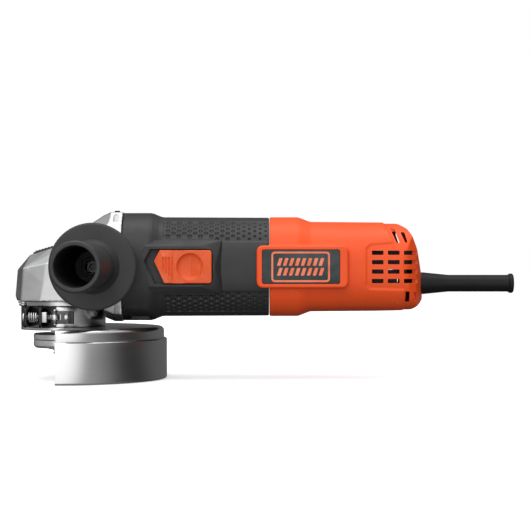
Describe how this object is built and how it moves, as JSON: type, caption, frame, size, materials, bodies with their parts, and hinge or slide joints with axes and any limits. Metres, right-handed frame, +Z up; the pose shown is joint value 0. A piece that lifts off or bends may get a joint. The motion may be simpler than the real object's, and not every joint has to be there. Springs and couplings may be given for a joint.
{
  "type": "angle grinder",
  "caption": "Corded angle grinder: motor housing with slide switch, vented rear housing, cast gear head, side handle, half-round wheel guard and cord boot.",
  "frame": {"origin": "centre of the spindle's lower end face", "axes": "+Z up along the spindle towards the gear head, +X back along the motor axis towards the cord boot, -Y out along the side handle"},
  "size_m": [0.3314, 0.2147, 0.1118],
  "materials": {
    "cast_aluminium": "as-cast die-cast aluminium, satin",
    "steel": "machined or zinc-plated steel",
    "polished_steel": "polished sheet steel",
    "dark_steel": "black-oxide steel",
    "black_plastic": "satin glass-filled nylon",
    "handle_plastic": "matte nylon",
    "orange_plastic": "satin nylon",
    "badge_plastic": "satin",
    "rubber": "matte PVC or rubber",
    "copper": "enamelled copper",
    "lamination": "stacked steel sheets",
    "carbon": "carbon",
    "brass": "satin"
  },
  "bodies": {
    "base": {"gear_case": "cast_aluminium", "bearing_cap": "cast_aluminium", "cap_screw_1": "steel", "cap_screw_2": "steel", "cap_screw_3": "steel", "cap_screw_4": "steel", "case_screw_1": "steel", "case_screw_2": "steel", "case_screw_3": "steel", "case_screw_4": "steel", "lock_spring": "steel", "spindle_bearing": "steel", "handle_stud": "steel", "shell_screw_1": "steel", "shell_screw_2": "steel", "shell_screw_3": "steel", "front_bearing": "steel", "rear_bearing": "steel", "motor_housing": "black_plastic", "handle_grip": "handle_plastic", "switch_module": "handle_plastic", "cord_clamp": "handle_plastic", "fan_baffle": "handle_plastic", "rear_housing_left": "orange_plastic", "rear_housing_right": "orange_plastic", "badge_left": "badge_plastic", "badge_right": "badge_plastic", "strain_relief": "rubber", "top_plug": "rubber", "field_coil_upper": "copper", "field_coil_lower": "copper", "stator_core": "lamination", "brush_1": "carbon", "brush_2": "carbon", "brush_holder_1": "brass", "brush_holder_2": "brass", "spindle_bush": "brass"},
    "armature": {"armature_shaft": "steel", "armature_core": "lamination", "armature_winding_front": "copper", "armature_winding_rear": "copper", "commutator": "copper", "pinion": "steel", "cooling_fan": "handle_plastic"},
    "spindle": {"spindle": "steel", "bevel_gear": "steel", "backing_flange": "steel", "lock_nut": "steel"},
    "switch": {"switch_slider": "orange_plastic", "switch_rod": "handle_plastic"},
    "spindle_lock": {"lock_button": "black_plastic", "lock_pin": "steel"},
    "guard": {"guard_plate": "polished_steel", "guard_skirt": "polished_steel", "guard_band": "polished_steel", "clamp_screw": "steel", "clamp_nut": "steel", "clamp_spring": "steel", "clamp_lever_pin": "steel"},
    "clamp_lever": {"clamp_lever": "dark_steel"}
  },
  "joints": [
    {"name": "armature_spin", "type": "hinge", "parent": "base", "child": "armature", "pos_m": [0, 0, 0.0585], "axis": [1, 0, 0], "continuous": true},
    {"name": "spindle_spin", "type": "hinge", "parent": "base", "child": "spindle", "pos_m": [0, 0, 0], "axis": [0, 0, 1], "continuous": true},
    {"name": "switch_slide", "type": "slide", "parent": "base", "child": "switch", "axis": [-1, 0, 0], "range_m": [0, 0.0055], "stiffness_N_per_m": 400, "springref_m": -0.004},
    {"name": "lock_press", "type": "slide", "parent": "base", "child": "spindle_lock", "axis": [0, 0, -1], "range_m": [0, 0.004], "stiffness_N_per_m": 500, "springref_m": -0.004, "deforming": ["lock_spring"]},
    {"name": "guard_turn", "type": "hinge", "parent": "base", "child": "guard", "pos_m": [0, 0, 0.0256], "axis": [0, 0, 1], "range_deg": [-90, 35]},
    {"name": "clamp_lever_turn", "type": "hinge", "parent": "guard", "child": "clamp_lever", "pos_m": [-0.0016, -0.0315, 0.0256], "axis": [0, 0, -1], "range_deg": [0, 100]}
  ],
  "couplings": [
    {"joint": "spindle_spin", "follows": "armature_spin", "ratio": 0.33333}
  ]
}
